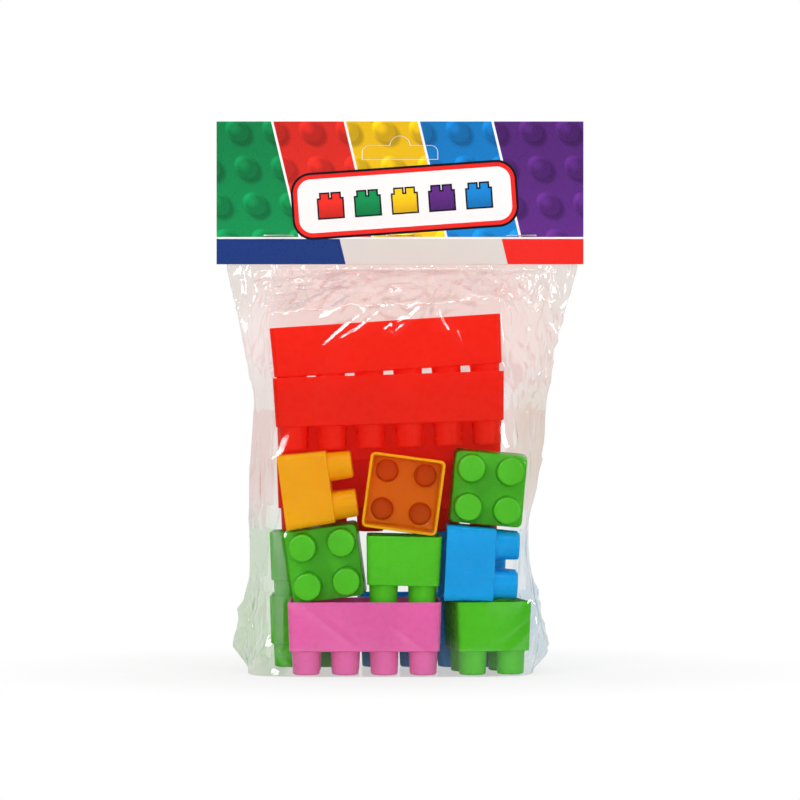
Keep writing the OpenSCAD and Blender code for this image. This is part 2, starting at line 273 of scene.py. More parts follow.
def round_over(x, y, half_x, half_y, radius):
    """Moves a point of a rectangle's outline on to its rounded corner."""
    over_x = abs(x) - (half_x - radius)
    over_y = abs(y) - (half_y - radius)
    if over_x <= 0 or over_y <= 0:
        return x, y
    reach = math.hypot(over_x, over_y)
    x = math.copysign(half_x - radius + over_x / reach * radius, x)
    y = math.copysign(half_y - radius + over_y / reach * radius, y)
    return x, y


class BlockMesh:
    """One hollow block: rim on z = 0, studs up, its middle on the z axis."""

    def __init__(self, nx, ny):
        self.counts = (nx, ny)
        self.strips = []
        self.caps = []
        self.half_rim = [(n * PITCH - PLAY) / 2 for n in self.counts]
        self.half_top = [half - DRAFT - BODY_EDGE for half in self.half_rim]
        self.lines = [self.cell_lines(axis) for axis in (0, 1)]
        self.skin()
        self.end_face(BODY_H, 0, STUD_R + STUD_ROOT, self.stud_profile())
        self.end_face(BODY_H - WALL, WALL, STUD_R - WALL, self.core_profile())

    def cell_lines(self, axis):
        """For each cell along an axis, its points as shares of half the end face's length."""
        count, half = self.counts[axis], self.half_top[axis]
        inner = [step * MM for step in INNER_STEPS]
        cells = []
        for i in range(count):
            centre = (i - (count - 1) / 2) * PITCH
            edge = half - abs((count - 1) / 2 * PITCH)
            outer = [step * MM for step in OUTER_STEPS]
            outer += [edge - CORNER_R * part for part in (1.0, 0.68, 0.36, 0.0)]
            low = outer if i == 0 else inner + [PITCH / 2]
            high = outer if i == count - 1 else inner + [PITCH / 2]
            places = [centre - step for step in reversed(low)] + [centre + step for step in high[1:]]
            cells.append([place / half for place in places])
        return cells

    def half_at(self, z, inset):
        """Half length and half width of the body at a height, less an inset."""
        return [half - DRAFT * z / BODY_H - inset for half in self.half_rim]

    def loop(self, z, inset, ribs=False):
        """Closed outline of the body at a height, moved inwards by an inset."""
        hx, hy = self.half_at(z, inset)
        radius = max(CORNER_R - inset, 0.4 * MM)
        xs = [s for cell in self.lines[0] for s in cell[:-1]] + [1]
        ys = [s for cell in self.lines[1] for s in cell[:-1]] + [1]
        points = [(s * hx, -hy) for s in xs[:-1]]
        points += [(hx, s * hy) for s in ys[:-1]]
        points += [(s * hx, hy) for s in reversed(xs[1:])]
        points += [(-hx, s * hy) for s in reversed(ys[1:])]
        out = []
        for x, y in points:
            if ribs:
                x, y = self.at_rib(x, y, hx, hy)
            x, y = round_over(x, y, hx, hy, radius)
            out.append((x, y, z))
        return out

    def at_rib(self, x, y, hx, hy):
        """Brings a point of the inner wall in where a rib stands beside a stud."""
        nx, ny = self.counts
        if abs(abs(y) - hy) < 1e-9 and self.beside_stud(x, nx):
            y = math.copysign(min(hy, (ny - 1) / 2 * PITCH + STUD_R + RIB_REACH), y)
        elif abs(abs(x) - hx) < 1e-9 and self.beside_stud(y, ny):
            x = math.copysign(min(hx, (nx - 1) / 2 * PITCH + STUD_R + RIB_REACH), x)
        return x, y

    @staticmethod
    def beside_stud(place, count):
        """Whether a rib stands at a place along an inner wall."""
        nearest = min(abs(place - (i - (count - 1) / 2) * PITCH) for i in range(count))
        return nearest < RIB_HALF * 0.5

    def skin(self):
        """The outer walls, the rim and the inner walls as one band."""
        rings = [self.loop(BODY_H, BODY_EDGE)]
        for turn in arc(60, 0, 3):
            z = BODY_H - BODY_EDGE * (1 - math.sin(turn))
            rings.append(self.loop(z, BODY_EDGE * (1 - math.cos(turn))))
        rings.append(self.loop(BODY_H * 0.5, 0))
        for turn in arc(0, 90, 3):
            rings.append(self.loop(RIM_EDGE * (1 - math.sin(turn)), RIM_EDGE * (1 - math.cos(turn))))
        for turn in arc(90, 0, 3):
            rings.append(self.loop(RIM_EDGE * (1 - math.sin(turn)), WALL - RIM_EDGE * (1 - math.cos(turn))))
        rings.append(self.loop(1.3 * RIM_EDGE, WALL))
        rings.append(self.loop(3.2 * RIM_EDGE, WALL, True))
        rings.append(self.loop(RIB_LEN - RIM_EDGE, WALL, True))
        rings.append(self.loop(RIB_LEN, WALL))
        rings.append(self.loop(BODY_H - WALL - 3 * RIM_EDGE, WALL))
        rings.append(self.loop(BODY_H - WALL, WALL))
        self.strips += list(zip(rings, rings[1:]))

    @staticmethod
    def stud_profile():
        """Radius and height above the end face, from the stud's root to its end."""
        out = []
        for turn in arc(90, 0, 3):
            out.append((STUD_R + STUD_ROOT * (1 - math.cos(turn)), STUD_ROOT * (1 - math.sin(turn))))
        end = STUD_R - STUD_TAPER
        for turn in arc(0, 90, 5):
            out.append((end - STUD_EDGE * (1 - math.cos(turn)), STUD_H - STUD_EDGE * (1 - math.sin(turn))))
        out.append(((end - STUD_EDGE) * 0.5, STUD_H))
        return out[1:]

    @staticmethod
    def core_profile():
        """Radius and height of the hollow in a stud, from its mouth to its end."""
        root = STUD_R - WALL
        end = root - STUD_TAPER
        mouth = [(root - 0.1 * MM, 0.4 * MM), (end, STUD_H - 0.5 * MM)]
        return mouth + [(end - 0.5 * MM, STUD_H), (end * 0.5, STUD_H)]

    def end_face(self, z, inset, hole, profile):
        """A flat face with a round patch at each stud, and the stud or core that rises from it."""
        top_half = self.half_at(z, inset + (BODY_EDGE if inset == 0 else 0))
        radius = CORNER_R - BODY_EDGE if inset == 0 else CORNER_R - inset
        for i, xs in enumerate(self.lines[0]):
            for j, ys in enumerate(self.lines[1]):
                self.cell(i, j, xs, ys, z, top_half, radius, hole, profile)

    def cell(self, i, j, xs, ys, z, half, radius, hole, profile):
        """One stud's part of an end face, from its outline in to the stud."""
        centre = [(k - (n - 1) / 2) * PITCH for k, n in zip((i, j), self.counts)]
        sides = [
            [(s, ys[0]) for s in xs[:-1]],
            [(xs[-1], s) for s in ys[:-1]],
            [(s, ys[-1]) for s in reversed(xs[1:])],
            [(xs[0], s) for s in reversed(ys[1:])],
        ]
        outline, turns = [], []
        for side, points in enumerate(sides):
            for k, (sx, sy) in enumerate(points):
                x, y = round_over(sx * half[0], sy * half[1], half[0], half[1], radius)
                outline.append((x, y, z))
                turns.append(math.radians(-135 + 90 * (side + k / len(points))))
        ring = self.circle(centre, turns, hole, z)
        between = [tuple(a * 0.3 + b * 0.7 for a, b in zip(p, q)) for p, q in zip(outline, ring)]
        rings = [outline, between, ring]
        rings += [self.circle(centre, turns, r, z + rise) for r, rise in profile]
        self.strips += list(zip(rings, rings[1:]))
        self.caps.append(rings[-1])

    @staticmethod
    def circle(centre, turns, radius, z):
        return [(centre[0] + radius * math.cos(t), centre[1] + radius * math.sin(t), z) for t in turns]

    def build(self, name, matrix):
        """The block as an object, turned by a matrix."""
        bm = bmesh.new()
        for first, second in self.strips:
            low = [bm.verts.new(p) for p in first]
            high = [bm.verts.new(p) for p in second]
            for k in range(len(low)):
                n = (k + 1) % len(low)
                bm.faces.new((low[k], low[n], high[n], high[k]))
        for cap in self.caps:
            bm.faces.new([bm.verts.new(p) for p in cap])
        bmesh.ops.remove_doubles(bm, verts=bm.verts, dist=1e-6)
        bmesh.ops.dissolve_degenerate(bm, edges=bm.edges, dist=1e-7)
        bmesh.ops.recalc_face_normals(bm, faces=bm.faces)
        depth = [self.depth_inside(v.co) for v in bm.verts]
        bm.transform(matrix)
        mesh = bpy.data.meshes.new(name)
        bm.to_mesh(mesh)
        bm.free()
        mesh.shade_smooth()
        mesh.attributes.new("cavity", "FLOAT", "POINT").data.foreach_set("value", depth)
        obj = bpy.data.objects.new(name, mesh)
        bpy.context.scene.collection.objects.link(obj)
        smooth = obj.modifiers.new("even_normals", "WEIGHTED_NORMAL")
        smooth.weight = 80
        return obj

    def depth_inside(self, co):
        """0 on the outside, then rising from the rim to the far end of the hollow."""
        hx, hy = self.half_at(min(co.z, BODY_H), WALL * 0.6)
        stud = math.hypot(*[self.off_stud(c, n) for c, n in zip((co.x, co.y), self.counts)])
        floor = BODY_H - 0.5 * WALL
        in_body = co.z < floor and abs(co.x) < hx and abs(co.y) < hy
        in_core = floor <= co.z <= BODY_H - WALL + STUD_H + 0.1 * MM and stud < STUD_R - 0.6 * WALL
        if not (in_body or in_core):
            return 0.0
        return min(1.0, 0.25 + 0.75 * co.z / (BODY_H + STUD_H))

    @staticmethod
    def off_stud(place, count):
        """How far a place is from the nearest stud along one axis."""
        return min((place - (i - (count - 1) / 2) * PITCH for i in range(count)), key=abs)


FACING = {
    "down": Euler((math.pi, 0, 0)).to_matrix(),
    "right": Euler((0, math.pi / 2, 0)).to_matrix(),
    "front": Euler((math.pi / 2, 0, 0)).to_matrix(),
    "back": Euler((-math.pi / 2, 0, 0)).to_matrix(),
}
# Node, studs along and across, where the studs point, lean and yaw in degrees, colour
BLOCKS = [
    ("red_beam_upper", 6, 2, "down", 3.7, 0, "red"),
    ("red_beam_lower", 6, 2, "down", 1.85, 0, "red"),
    ("red_beam_back_lower", 6, 2, "down", 0, 0, "red"),
    ("red_beam_back_upper", 6, 2, "down", 0, 0, "red"),
    ("yellow_block_side", 2, 2, "right", 7.7, 0, "yellow"),
    ("yellow_block_open", 2, 2, "back", -7.7, 0, "yellow"),
    ("green_block_upper", 2, 2, "front", -5.2, 0, "green"),
    ("green_block_left", 2, 2, "front", 7.7, 0, "green"),
    ("green_block_middle", 2, 2, "down", -1.3, 0, "green"),
    ("green_block_corner", 2, 2, "down", 0, 11, "green"),
    ("green_block_back_lower", 2, 2, "down", 0, 0, "green"),
    ("green_block_back_upper", 2, 2, "down", 0, 0, "green"),
    ("blue_block_side", 2, 2, "right", -2.8, 0, "blue"),
    ("blue_block_back", 2, 2, "down", 0, 0, "blue"),
    ("blue_brick_back", 4, 2, "down", 0, 0, "blue"),
    ("pink_brick", 4, 2, "down", 0, 0, "pink"),
]
# Outer colour, the deeper colour painted in the hollow as its shade and the light bounced inside it, and
# the shares of light that outside and hollow let through
PLASTICS = {
    "red": ((255, 46, 22), (255, 54, 14), 0.5, 0.75),
    "yellow": ((255, 194, 0), (255, 126, 0), 0.36, 0.45),
    "green": ((92, 216, 36), (60, 190, 24), 0.22, 0.3),
    "blue": ((2, 180, 250), (0, 160, 240), 0.22, 0.3),
    "pink": ((250, 116, 194), (240, 96, 178), 0.22, 0.3),
}


def plastic(name, outer, inner, let_outside, let_hollow):
    """Moulded glossy plastic: faint cloudy colour, flow lines, a soft uneven polish, and painted shade and
    bounced light that deepen the colour in the hollow.
    """
    tree = Tree(name)
    cloud = tree.noise(26, 3, 0.55, twist=0.6)
    flow = tree.noise(5, 2, 0.5, stretch=(0.25, 0.25, 1.6), twist=1.2)
    base = linear(outer)
    darker = tuple(part * 0.94 for part in base[:3]) + (1,)
    lighter = tuple(min(1, part * 1.04) for part in base[:3]) + (1,)
    colour = tree.mix(cloud.ramp(0.3, 0.7), darker, lighter)
    streaks = tree.mix(flow.ramp(0.42, 0.7, 0.0, 0.35), colour, darker)
    deep = tree.attribute("cavity").ramp(0.1, 1.0)
    polish = tree.noise(3, 3, 0.6)
    grain = tree.noise(0.5, 2, 0.5)
    # Painted shade and bounced light: the base colour turns to the deeper hollow colour towards the far end
    # of the hollow
    shell = tree.shader("ShaderNodeBsdfPrincipled", {
        "Base Color": tree.mix(deep, streaks, linear(inner)),
        "Roughness": polish.ramp(0.3, 0.75, 0.24, 0.36),
        "Normal": tree.bump(cloud, 0.25, 0.35, tree.bump(grain, 0.012, 0.5)),
        "Specular IOR Level": 0.22,
    })
    paler = tuple(part ** 0.5 for part in base[:3]) + (1,)
    through = tree.shader("ShaderNodeBsdfTranslucent", {"Color": paler})
    return tree.finish(tree.blend(deep.ramp(0.0, 0.3, let_outside, let_hollow), shell, through))


plastics = {name: plastic(name + "_plastic", *row) for name, row in PLASTICS.items()}
shapes = {}
# Studs along and across, turn and place of each block
placed = {}
for node, nx, ny, facing, lean, yaw, colour in BLOCKS:
    if (nx, ny) not in shapes:
        shapes[nx, ny] = BlockMesh(nx, ny)
    turn = Matrix.Rotation(math.radians(yaw), 3, "Z") @ Matrix.Rotation(math.radians(-lean), 3, "Y")
    turn = turn @ FACING[facing]
    block = shapes[nx, ny].build(node + "_moulded", turn.to_4x4())
    places = np.array([v.co for v in block.data.vertices])
    low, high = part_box(node)
    shift = (low + high) / 2 - Vector((places.min(0) + places.max(0)) / 2)
    block.data.transform(Matrix.Translation(shift))
    placed[node] = (nx, ny, np.array(turn), np.array(shift))
    block.data.materials.append(plastics[colour])
    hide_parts(node)
    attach(block, node)


# Film bag

FILM_GAP = 0.5 * MM
# More room over a block that can be lifted
LIFT_ROOM = 0.4 * MM
# Grid of distances to the blocks
GRID_STEP = 1.5 * MM
GRID_LOW = (-0.082, -0.042, -0.006)
GRID_SIDE = (0.082, 0.042)
GRID_ABOVE_NECK = 6 * MM
CARD_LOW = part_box("header_card")[0].z
NECK_Z = CARD_LOW - 2 * MM
FILM_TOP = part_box("bag_front")[1].z
FLAT_HALF = 0.15 * MM
BASE_Z = 0.2 * MM
SQUARENESS = 5
# Height and the left and right edges of the bag, in millimetres
EDGES = [
    (0.2, -62.5, 54.0), (4, -66.5, 58.6), (11, -69.6, 62.4), (19, -68.4, 60.0), (29, -64.6, 57.8),
    (38, -63.2, 55.6), (46, -63.0, 53.0), (51, -63.0, 52.2), (59, -63.2, 52.8), (70, -63.4, 55.0),
    (81, -63.4, 57.8), (96, -62.3, 60.2), (115, -61.0, 61.3),
    (135, -65.4, 64.7), (154, -68.8, 70.4), (168, -72.8, 74.6), (212, -73.4, 74.4),
]
# Height, and the loose bag's depth in front and behind, in millimetres
DEPTHS = [
    (0, 33.2, 33.2), (4, 34.8, 34.8), (20, 36.0, 36.0), (94, 36.0, 36.0),
    (124, 34.0, 36.0), (156, 32.5, 12.0), (NECK_Z / MM, 0.15, 0.15),
]
# Heights between which the rings of the coarse bag are spaced, and how many there are
RING_RUNS = [(BASE_Z, 30 * MM, 11), (30 * MM, 122 * MM, 20), (122 * MM, NECK_Z, 19), (NECK_Z, FILM_TOP, 3)]
COARSE_COLUMNS = 100
# Rounds of drawing taut, on the coarse bag and each finer one
SETTLE_ROUNDS = (400, 120, 40)
# Room to the blocks at which the film hangs free, and the room beyond it that makes it fully slack
FREE_ROOM = 5 * MM
SLACK_ROOM = 14 * MM
CREASE_GAIN = 1.5
BASE_STEPS = 24
BASE_SLACK = 0.3
FILM_HAZE = (0.93, 0.91, 0.9, 1)


def joints_of(body):
    """The joints from a body down to the root, nearest first."""
    chain = []
    for joint in frame["joints"]:
        if joint["child"] == body:
            chain = [joint] + joints_of(joint["parent"])
    return chain


def reach_of(node):
    """Each shift that a block's slides can give it, as a list of vectors."""
    shifts = [Vector((0, 0, 0))]
    for joint in joints_of(node):
        axis = Vector(joint["axis"]).normalized()
        ends = [axis * limit for limit in joint["range_m"]]
        shifts = [shift + end for shift in shifts for end in ends]
    return shifts


def block_boxes(moved):
    """Turn, centre and half size of a box for each block's body and its studs, at rest or at each limit."""
    out = []
    for node, (nx, ny, turn, shift) in placed.items():
        body = np.array([(nx * PITCH - PLAY) / 2, (ny * PITCH - PLAY) / 2, BODY_H / 2])
        studs = np.array([(nx - 1) * PITCH / 2 + STUD_R, (ny - 1) * PITCH / 2 + STUD_R, STUD_H / 2])
        for move in reach_of(node) if moved else [Vector((0, 0, 0))]:
            room = LIFT_ROOM if move.z > 0 else 0
            for half, z in ((body, BODY_H / 2), (studs, BODY_H + STUD_H / 2)):
                out.append((turn, turn @ np.array([0, 0, z]) + shift + np.array(move), half + room))
    return out


class Clearance:
    """Distance to the nearest block on a grid, read between the grid's points."""

    def __init__(self, boxes):
        self.low = np.array(GRID_LOW)
        high = np.array([*GRID_SIDE, NECK_Z + GRID_ABOVE_NECK])
        counts = np.ceil((high - self.low) / GRID_STEP).astype(int) + 1
        axes = [self.low[k] + GRID_STEP * np.arange(counts[k]) for k in range(3)]
        points = np.stack(np.meshgrid(*axes, indexing="ij"), -1)
        self.grid = np.full(points.shape[:3], 1.0)
        for turn, centre, half in boxes:
            over = np.abs((points - centre) @ turn) - half
            outside = np.sqrt((np.clip(over, 0, None) ** 2).sum(-1))
            self.grid = np.minimum(self.grid, outside + np.clip(over.max(-1), None, 0))

    def at(self, points):
        """Distances at an array of points."""
        place = (points - self.low) / GRID_STEP
        place = np.clip(place, 0, np.array(self.grid.shape) - 1.001)
        cell = place.astype(int)
        part = place - cell
        total = 0
        for corner in np.ndindex(2, 2, 2):
            share = np.prod(np.where(corner, part, 1 - part), axis=-1)
            total = total + share * self.grid[tuple(np.moveaxis(cell + np.array(corner), -1, 0))]
        return total


def eased(rows, column, height):
    """A value of a list of rows at a height, eased between the listed heights."""
    zs = np.array([row[0] for row in rows]) * MM
    values = np.array([row[column] for row in rows]) * MM
    fine = np.linspace(zs[0], zs[-1], 600)
    window = np.hanning(25)
    padded = np.pad(np.interp(fine, zs, values), 12, mode="edge")
    return float(np.interp(height, fine, np.convolve(padded, window / window.sum(), mode="valid")))


def half_ring(left, right, depth, columns):
    """Points from the right edge of the bag to the left, evenly spaced round one side."""
    turns = np.linspace(0, math.pi, 500)
    power = 2 / SQUARENESS
    xs = (left + right) / 2 + (right - left) / 2 * np.sign(np.cos(turns)) * np.abs(np.cos(turns)) ** power
    ys = depth * np.sin(turns) ** power
    length = np.concatenate([[0], np.cumsum(np.hypot(np.diff(xs), np.diff(ys)))])
    places = np.linspace(0, length[-1], columns // 2 + 1)
    return np.stack([np.interp(places, length, xs), np.interp(places, length, ys)], -1)


def loose_ring(z, columns):
    """One closed ring of the loose bag, from the right edge over the front to the left and back."""
    left, right = eased(EDGES, 1, z), eased(EDGES, 2, z)
    deep = [np.interp(z / MM, [row[0] for row in DEPTHS], [row[k] for row in DEPTHS]) * MM for k in (1, 2)]
    if z >= NECK_Z - 1e-9:
        deep = [FLAT_HALF, FLAT_HALF]
    front = half_ring(left, right, -deep[0], columns)
    behind = half_ring(left, right, deep[1], columns)[1:-1][::-1]
    ring = np.concatenate([front, behind])
    return np.concatenate([ring, np.full((len(ring), 1), z)], -1)


def ring_heights():
    """Heights of the coarse bag's rings, from the base up."""
    out = [BASE_Z]
    for low, high, count in RING_RUNS:
        out += list(np.linspace(low, high, count + 1)[1:])
    return out


def outward_of(points):
    """Level direction out of the bag at each point."""
    along = np.roll(points, -1, axis=1) - np.roll(points, 1, axis=1)
    out = np.stack([along[..., 1], -along[..., 0]], -1)
    quarter = points.shape[1] // 4
    out = out * np.where(out[:, quarter:quarter + 1, 1:2] > 0, -1, 1)
    return out / np.maximum(np.linalg.norm(out, axis=-1, keepdims=True), 1e-9)


def settle(points, clearance, rounds):
    """Draws the film taut over the blocks, with its edges, neck and base held."""
    columns = points.shape[1]
    held = np.zeros(points.shape[:2], bool)
    held[:, 0] = held[:, columns // 2] = True
    held[0] = True
    held[points[:, 0, 2] >= NECK_Z - 1e-9] = True
    outward = outward_of(points)
    for _ in range(rounds):
        up = np.concatenate([points[1:], points[-1:]])
        down = np.concatenate([points[:1], points[:-1]])
        mean = (np.roll(points, 1, axis=1) + np.roll(points, -1, axis=1) + up + down) / 4
        moved = points + 0.9 * (mean - points)
        moved[..., 2] = points[..., 2]
        short = np.clip(FILM_GAP - clearance.at(moved), 0, None)
        moved[..., :2] += outward * short[..., None]
        points = np.where(held[..., None], points, moved)
    return points


def finer(points):
    """Twice as many rings and columns."""
    wide = np.empty((points.shape[0], points.shape[1] * 2, 3))
    wide[:, 0::2] = points
    wide[:, 1::2] = (points + np.roll(points, -1, axis=1)) / 2
    tall = np.empty((wide.shape[0] * 2 - 1, wide.shape[1], 3))
    tall[0::2] = wide
    tall[1::2] = (wide[:-1] + wide[1:]) / 2
    return tall


def surface_normals(points):
    """Outward normals of the ring grid."""
    along = np.roll(points, -1, axis=1) - np.roll(points, 1, axis=1)
    normal = np.cross(np.gradient(points, axis=0), along)
    normal /= np.maximum(np.linalg.norm(normal, axis=-1, keepdims=True), 1e-12)
    sign = np.sign((normal[..., :2] * outward_of(points)).sum(-1, keepdims=True))
    return normal * np.where(sign == 0, 1, sign)


def noise_on(points, size, seed, stretch=(1, 1, 1)):
    """Noise of about a size in millimetres at each point, from -1 to 1."""
    flat = (points.reshape(-1, 3) / (size * MM)) * np.array(stretch) + seed
    values = [noise.noise(p) for p in flat.tolist()]
    return np.array(values).reshape(points.shape[:-1])


# Creases that show as bright lines, in millimetres from the middle and from the floor: height, width, path
FRONT_CREASES = [
    (1.0, 2.0, [(-30, 157.8), (-17, 158.1), (-1, 158.6), (3, 157.8), (16, 158.8)]),
    (0.9, 1.6, [(18.6, 168), (17.4, 160.6)]),
    (0.9, 1.6, [(11.6, 167.5), (16.1, 159.6)]),
    (1.1, 1.8, [(16.1, 158.1), (7.5, 150.2), (2.5, 144.8), (-1.8, 140.7), (-8.3, 141.2)]),
    (0.8, 1.6, [(-8.3, 141.2), (-5, 142.4), (8.7, 149.8), (15.8, 157.7)]),
    (0.8, 1.6, [(0, 155.6), (-7.5, 149.8), (-17.2, 141.7), (-32.1, 134.3)]),
    (0.7, 1.6, [(-32.1, 134.3), (-21.2, 143.6), (-12.2, 150.2), (-0.4, 155.6)]),
    (0.8, 1.5, [(14.9, 153.6), (15.6, 147.7), (19.1, 141.9), (14.1, 144.8)]),
    (1.0, 1.6, [(26, 161.6), (26.6, 157.1), (34.4, 153.1)]),
    (0.8, 1.5, [(34.4, 153.1), (29.5, 158.5), (26, 161.6)]),
    (1.0, 2.0, [(28.5, 163.5), (40.3, 164.1), (54.4, 166), (70, 167.5)]),
    (1.1, 2.2, [(41.5, 160.6), (48.1, 165.2)]),
    (0.9, 1.8, [(-48.1, 161.6), (-40, 164.1), (-33.2, 162.7)]),
    (0.8, 1.6, [(-26.1, 167.7), (-17.2, 165.6), (-9.3, 168.1)]),
    (0.8, 1.8, [(-1.2, 163.5), (8.6, 161.6)]),
    (0.5, 2.0, [(18.7, 150.7), (27.4, 130)]),
    (0.5, 2.2, [(46, 60), (32, 36)]),
    (0.4, 2.2, [(-4, 22), (14, 8)]),
    (0.4, 2.2, [(-40, 30), (-18, 12)]),
    (0.4, 2.5, [(-26, 134), (-36, 108)]),
    (0.9, 1.8, [(-67.5, 13), (-64, 9), (-61.5, 6)]),
    (0.8, 1.6, [(-63, 6.4), (-60, 5), (-56, 6.6)]),
    (0.8, 2.0, [(-57.5, 30), (-55.6, 20), (-52.6, 7)]),
    (0.8, 1.8, [(-50, 13), (-47, 7.5), (-43.5, 3)]),
    (0.8, 1.8, [(59, 16), (61, 11), (57, 7)]),
]


def ridge(x, z, path, height, width):
    """Height of a crease with a sharp crest along a path, fading towards its ends."""
    lengths = [math.dist(p, q) for p, q in zip(path, path[1:])]
    whole = sum(lengths)
    near = np.full(x.shape, 1e9)
    along = np.zeros(x.shape)
    done = 0
    for (x0, z0), (x1, z1), length in zip(path, path[1:], lengths):
        part = np.clip(((x - x0) * (x1 - x0) + (z - z0) * (z1 - z0)) / length ** 2, 0, 1)
        gap = np.hypot(x - x0 - part * (x1 - x0), z - z0 - part * (z1 - z0))
        along = np.where(gap < near, (done + part * length) / whole, along)
        near = np.minimum(near, gap)
        done += length
    return height * np.clip(1 - near / width, 0, None) ** 1.3 * np.sin(math.pi * (0.08 + 0.84 * along))


def scattered_creases(draw, count, box, lean, length, height):
    """Straight creases strewn over a box of the unrolled film, leaning about an angle."""
    out = []
    for _ in range(count):
        x, z = draw.uniform(box[0], box[1]), draw.uniform(box[2], box[3])
        turn = math.radians(draw.normal(*lean))
        half = draw.uniform(*length) / 2
        bend = draw.normal(0, 0.06) * half
        step = (math.cos(turn), math.sin(turn))
        path = [(x - step[0] * half, z - step[1] * half), (x - step[1] * bend, z + step[0] * bend),
                (x + step[0] * half, z + step[1] * half)]
        tall = draw.uniform(*height)
        out.append((tall, 1.2 + 1.6 * tall, path))
    return out


def crease_sets(seed):
    """Creases of one side of the bag: on its margins and lower corners, and gathers under the card."""
    draw = np.random.default_rng(seed)
    out = []
    for side in (-1, 1):
        margin = sorted((side * 52, side * 92))
        out += scattered_creases(draw, 16, (*margin, 30, 150), (90, 12), (20, 60), (0.3, 0.9))
        corner = sorted((side * 48, side * 100))
        out += scattered_creases(draw, 16, (*corner, 2, 32), (66 - side * 12, 40), (8, 28), (0.6, 1.7))
        out += scattered_creases(draw, 8, (*margin, 120, 168), (90 + side * 20, 20), (10, 34), (0.4, 1.0))
    out += scattered_creases(draw, 26, (-62, 62, 158, 167), (90, 28), (6, 18), (0.3, 0.9))
    out += scattered_creases(draw, 34, (-58, 58, 144, 164), (55, 40), (8, 26), (0.4, 1.2))
    out += scattered_creases(draw, 10, (-50, 50, 152, 166), (8, 16), (12, 34), (0.3, 0.8))
    out += scattered_creases(draw, 12, (-50, 50, 10, 140), (60, 40), (18, 50), (0.1, 0.3))
    return out


def unrolled(points):
    """Distance round the ring from the middle of the side that a point is on, in millimetres."""
    columns = points.shape[1]
    step = np.linalg.norm(np.roll(points, -1, axis=1) - points, axis=-1)
    run = np.concatenate([np.zeros((len(points), 1)), np.cumsum(step, axis=1)[:, :-1]], axis=1) / MM
    quarter = columns // 4
    front = run[:, quarter:quarter + 1] - run
    behind = run - run[:, 3 * quarter:3 * quarter + 1]
    return np.where(np.arange(columns) <= columns // 2, front, behind)


def crumple(points):
    """Folds and creases, strongest where the film spans free, and how slack it is at each point."""
    columns = points.shape[1]
    front = np.broadcast_to(np.arange(columns) <= columns // 2, points.shape[:2])
    room = at_rest.at(points) - FILM_GAP
    free = np.clip(room / FREE_ROOM, 0, 1)
    x, z = points[..., 0] / MM, points[..., 2] / MM
    run = unrolled(points)
    neck = np.clip((NECK_Z / MM - z) / 3, 0, 1)
    base = np.clip((z - 0.2) / 4, 0, 1)
    from_seams = [np.abs(np.arange(columns) - k) for k in (0, columns // 2, columns)]
    seam = np.clip(np.minimum.reduce(from_seams) / 3, 0, 1)
    soft = noise_on(points, 26, 3.1, (1, 1, 0.4)) * 1.2 + noise_on(points, 9, 13.4, (1, 1, 0.6)) * 0.3
    sharp = np.zeros(points.shape[:2])
    for height, width, path in FRONT_CREASES:
        sharp = np.maximum(sharp, np.where(front, ridge(x, z, path, height * CREASE_GAIN, width), 0))
    lift = np.zeros(points.shape[:2])
    for seed, side in ((5, front), (11, ~front)):
        for height, width, path in crease_sets(seed):
            lift += np.where(side, ridge(run, z, path, height, width), 0)
    amount = (soft * free * (0.35 + 0.65 * seam) + lift * (0.4 + 0.6 * free) + sharp) * neck * base * MM
    moved = points + surface_normals(points) * amount[..., None]
    short = np.clip(0.7 * FILM_GAP - clearance.at(moved), 0, None)
    moved[..., :2] += outward_of(points) * short[..., None]
    moved[..., 2] = np.maximum(moved[..., 2], 0.1 * MM)
    held = points[..., 2] >= NECK_Z - 1e-9
    moved[held] = points[held]
    slack = np.maximum((room - FREE_ROOM) / SLACK_ROOM, (lift * free + sharp) * 0.15)
    return moved, np.clip(slack, 0, 1)


def film_object(points, slack):
    """The ring grid as a mesh, closed across the base and at the mouth."""
    rows, columns = points.shape[:2]
    half = columns // 2
    verts = [tuple(p) for p in points.reshape(-1, 3)]
    loose = list(slack.reshape(-1))
    faces = []
    for i in range(rows - 1):
        for j in range(columns):
            n = (j + 1) % columns
            faces.append((i * columns + j, i * columns + n, (i + 1) * columns + n, (i + 1) * columns + j))
    top = (rows - 1) * columns
    for j in range(half):
        quad = [top + j, top + j + 1, top + columns - j - 1, top + (columns - j) % columns]
        faces.append(tuple(dict.fromkeys(quad)))
    lines = []
    for k in range(BASE_STEPS + 1):
        share = k / BASE_STEPS
        row = []
        for j in range(half + 1):
            other = (columns - j) % columns
            if k == 0 or j in (0, half):
                row.append(j)
            elif k == BASE_STEPS:
                row.append(other)
            else:
                verts.append(tuple(points[0, j] * (1 - share) + points[0, other] * share))
                loose.append(BASE_SLACK)
                row.append(len(verts) - 1)
        lines.append(row)
    for first, second in zip(lines, lines[1:]):
        for j in range(half):
            quad = list(dict.fromkeys([first[j], second[j], second[j + 1], first[j + 1]]))
            if len(quad) > 2:
                faces.append(tuple(quad))
    mesh = bpy.data.meshes.new("film_bag")
    mesh.from_pydata(verts, [], faces)
    mesh.attributes.new("slack", "FLOAT", "POINT").data.foreach_set("value", loose)
    bm = bmesh.new()
    bm.from_mesh(mesh)
    bmesh.ops.recalc_face_normals(bm, faces=bm.faces)
    bm.to_mesh(mesh)
    bm.free()
    mesh.shade_smooth()
    obj = bpy.data.objects.new("film_bag", mesh)
    bpy.context.scene.collection.objects.link(obj)
    return obj


